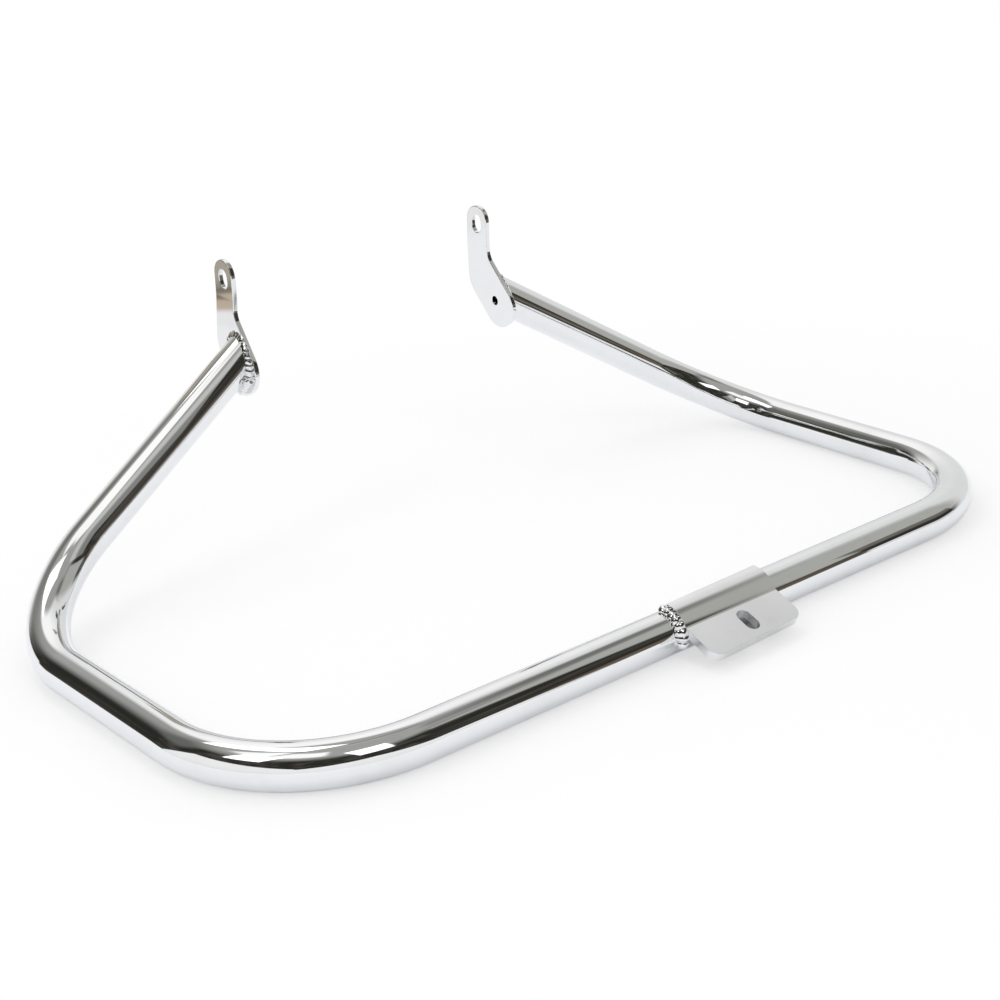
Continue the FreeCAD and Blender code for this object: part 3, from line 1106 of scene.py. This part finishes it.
@dataclass(frozen=True)
class Floor:
    """Floor that is white to the camera. In the chrome it is painted a little brighter than white,
    with dark edges, and it glows a little as painted light that lifts the guard's shadow, most
    beside the right side run.

    Lengths are metres. A pair is an edge, from none to full. A patch has two sides and the
    softness of its edge, in X and then in Y.
    """

    size: float = 80.0
    white: Triple = (0.985, 0.985, 0.985)
    # painted light: the floor's tone in the chrome, a little brighter than white and bluish
    mirrored: Triple = (1.03, 1.045, 1.07)
    # tone of the painted shade under the saddle's flange
    shaded: Triple = (0.6, 0.6, 0.6)
    dark: Triple = (0.17, 0.145, 0.12)
    far_way: Pair = (-0.454, 0.89)
    far_edge: Pair = (1.28, 1.42)
    near_slope: float = 0.31
    near_edge: Pair = (-0.35, -0.41)
    near_side: Pair = (-0.06, 0.02)
    # bounds of the painted shade under the saddle's flange, seen through its slot
    flange_shade: Tuple[Triple, Triple] = ((0.01, 0.06, 0.008), (-0.208, -0.18, 0.006))
    # painted light: a patch beside the right side run where the floor glows in the chrome, lifting
    # the tube's shadow
    shadow_lift_patch: Tuple[Triple, Triple] = ((0.2, 0.345, 0.02), (-0.12, 0.3, 0.05))
    clear_edge: Pair = (0.45, 0.85)
    clear_share: float = 0.55
    # painted light: shares of the floor's glow in the chrome, over all of it and beside the right
    # side run
    glow_share: float = 0.08
    shadow_lift_share: float = 0.5

    def lay(self) -> Object:
        """Adds the floor as scenery and returns it.

        It keeps a faint shadow near the guard, and a patch of painted shade under the saddle's
        flange shows through the flange's slot.
        """
        bench = Bench("studio_floor")
        bpy.ops.mesh.primitive_plane_add(size=self.size)
        floor = bench.adopt()
        material, shader, place = new_material("pale_floor")
        parts = shader.node("SeparateXYZ", None, {0: place})
        x = parts.out("X")
        y = parts.out("Y")
        away = shader.node("VectorMath", {"operation": "LENGTH"}, {0: place})
        far = (y * self.far_way[1] + x * self.far_way[0]).step(*self.far_edge)
        near = (y + x * self.near_slope).step(*self.near_edge) * x.step(*self.near_side)
        # painted shade: the floor under the saddle's flange turns grey, to the camera and in the
        # chrome
        flange_shade = x.within(*self.flange_shade[0]) * y.within(*self.flange_shade[1])
        # mask of the painted glow beside the right side run
        shadow_lift_patch = x.within(*self.shadow_lift_patch[0]) * y.within(*self.shadow_lift_patch[1])
        mirrored = shader.blend(far.larger(near), self.mirrored, self.dark)
        mirrored = shader.blend(flange_shade, mirrored, self.shaded)
        seen = shader.blend(flange_shade, self.white, self.shaded)
        ray = shader.node("LightPath")
        camera = ray.out("Is Camera Ray")
        glossy = ray.out("Is Glossy Ray")
        tone = shader.blend(glossy, seen, mirrored)
        matt = shader.node("BsdfDiffuse", None, {"Color": tone})
        paper = shader.node("Emission", None, {
            "Color": shader.blend(glossy, (1.0, 1.0, 1.0), mirrored), "Strength": 1.0})
        clear = away.out("Value").step(*self.clear_edge) * (1 - self.clear_share) + self.clear_share
        # painted light: in the chrome the floor glows, which lifts the guard's shadow, most beside
        # the right side run
        glow = shadow_lift_patch * self.shadow_lift_share + self.glow_share
        share = (camera * clear + glossy * glow) * (1 - flange_shade)
        both = shader.node("MixShader", None, {0: share, 1: matt.out(), 2: paper.out()})
        shader.node("OutputMaterial", None, {"Surface": both.out()})
        floor.data.materials.append(material)
        return floor


@dataclass
class Studio:
    """Pale floor, surroundings that the chrome mirrors, softboxes and the camera."""

    floor: Floor = field(default_factory=Floor)
    room: Room = field(default_factory=Room)
    matt_light: Triple = (0.85, 0.85, 0.85)
    camera_place: Triple = (-0.6981, -0.92115, 0.49355)
    heading: float = 54.03
    pitch: float = -20.63
    roll: float = -4.64
    focal_length: float = 56.98
    sensor: float = 36.0
    camera_reach: float = 100.0
    lights: Tuple[StudioLight, ...] = (
        StudioLight("front_softbox", (-0.33, -1.72, 1.98), (-0.3, 0, 0), (0.80, 1.05), 1.6),
        StudioLight("left_softbox", (-1.60, -0.10, 1.75), (-0.1, 0, 0), (0.75, 0.80), 2.0),
        StudioLight("top_softbox", (-0.33, 0.80, 2.19), (-0.2, 0.1, 0), (0.62, 1.40), 1.6),
    )
    cards: Tuple[Card, ...] = (
        Card("front_lip", (-1.0, -0.45), (-0.30, -0.45), -0.01, (0.12, 0.12), LIP_TONES),
        Card("sloping_lip", (-0.30, -0.45), (0.08, -0.45), -0.01, (0.12, 0.0), LIP_TONES),
        Card("left_lip", (-0.66, -0.45), (-0.66, 0.02), -0.01, (0.14, 0.20), LIP_TONES),
        Card("left_slope", (-0.66, 0.02), (-0.66, 0.17), -0.01, (0.20, 0.01), LIP_TONES),
        Card("back_lip", (-0.95, 1.15), (-0.30, 1.15), -0.01, (0.09, 0.09), LIP_TONES),
        Card("front_flag", (-0.62, -0.15), (-0.10, -0.15), 0.25, (0.78, 0.78),
             ((0.38, (0.26, 0.265, 0.25)), (0.52, (0.62, 0.62, 0.60)))),
        Card("right_flag", (0.40, -0.44), (0.60, -0.34), -0.01, (0.19, 0.17),
             ((0.030, (0.80, 0.80, 0.80)), (0.045, (0.03, 0.028, 0.024)),
              (0.085, (0.035, 0.03, 0.026)), (0.13, (0.17, 0.16, 0.145)))),
        Card("tab_flag", (-0.205, 0.290), (-0.135, 0.325), 0.183, (0.24, 0.24),
             ((0.1935, (0.58, 0.49, 0.385)), (0.1975, (0.24, 0.21, 0.165)),
              (0.1995, (0.22, 0.19, 0.15)), (0.2015, (0.31, 0.29, 0.25)),
              (0.2110, (0.46, 0.425, 0.345))), soft=0.006),
    )

    def surround(self) -> None:
        """Sets the world: white to the camera, even to the floor, a room to the chrome."""
        world = bpy.data.worlds.new("studio")
        bpy.context.scene.world = world
        world.use_nodes = True
        shader = Shader(world.node_tree)
        way = shader.node("TexCoord").out("Generated")
        parts = shader.node("SeparateXYZ", None, {0: way})
        degree = math.degrees(1)
        rise = shader.node("Math", {"operation": "ARCSINE"}, {0: parts.out("Z")}).out()
        swing = shader.node("Math", {"operation": "ARCTAN2"},
                            {0: parts.out("Y"), 1: parts.out("X")}).out()
        colour = self.room.colour(shader, way, swing * degree, rise * degree)
        ray = shader.node("LightPath")
        even = shader.blend(ray.out("Is Camera Ray"), self.matt_light, (1.0, 1.0, 1.0))
        final = shader.blend(ray.out("Is Glossy Ray"), even, colour)
        light = shader.node("Background", None, {"Color": final, "Strength": 1.0})
        shader.node("OutputWorld", None, {"Surface": light.out()})

    def stand_camera(self) -> Object:
        """Adds the camera where the photograph was taken from, and returns it."""
        camera = bpy.data.cameras.new("studio_camera")
        camera.lens = self.focal_length
        camera.sensor_width = self.sensor
        camera.sensor_fit = "HORIZONTAL"
        camera.clip_end = self.camera_reach
        obj = bpy.data.objects.new("studio_camera", camera)
        bpy.context.scene.collection.objects.link(obj)
        turn = (Matrix.Rotation(math.radians(self.heading - 90), 4, "Z")
                @ Matrix.Rotation(math.radians(90 + self.pitch), 4, "X")
                @ Matrix.Rotation(math.radians(self.roll), 4, "Z"))
        obj.matrix_world = Matrix.Translation(self.camera_place) @ turn
        bpy.context.scene.camera = obj
        return obj

    def set_up(self) -> None:
        """Builds the whole studio."""
        self.floor.lay()
        for card in self.cards:
            card.stand()
        self.surround()
        for light in self.lights:
            light.hang()
        self.stand_camera()
        bpy.context.scene.view_settings.view_transform = "Standard"


@dataclass
class EngineGuard:
    """The whole guard, piece by piece."""

    setting: Setting

    def show(self, piece: Object, node: str, finish: ChromeFinish) -> None:
        """Dresses a piece, lets it stand for its CAD node and reports it."""
        finish.dress(piece)
        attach(piece, "root")
        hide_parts(node)
        LOG.info("%s stands for %s with %d faces", piece.name, node, len(piece.data.polygons))

    def build(self) -> None:
        """Models and dresses every piece."""
        self.show(GuardTube(self.setting).build(), "guard_tube", TUBE_CHROME)
        for side in Side:
            word = side.name.lower()
            self.show(EndTab(self.setting, side).build(), f"{word}_tab", PLATE_CHROME)
            weld = TabWeld(self.setting, f"{word}_tab_bead", 7 + side.value, side=side)
            self.show(weld.build(), f"{word}_tab_weld", WELD_CHROME)
        plate = SaddlePlate(self.setting)
        self.show(plate.build(), "saddle_bracket", PLATE_CHROME)
        bead = SaddleWeld(self.setting, "saddle_bead", 5, plate=plate)
        self.show(bead.build(), "saddle_weld", WELD_CHROME)


def main() -> None:
    """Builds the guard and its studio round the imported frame."""
    logging.basicConfig(level=logging.INFO, format="%(message)s")
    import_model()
    setting = Setting().read()
    EngineGuard(setting).build()
    Studio().set_up()


if __name__ == "__main__":
    main()
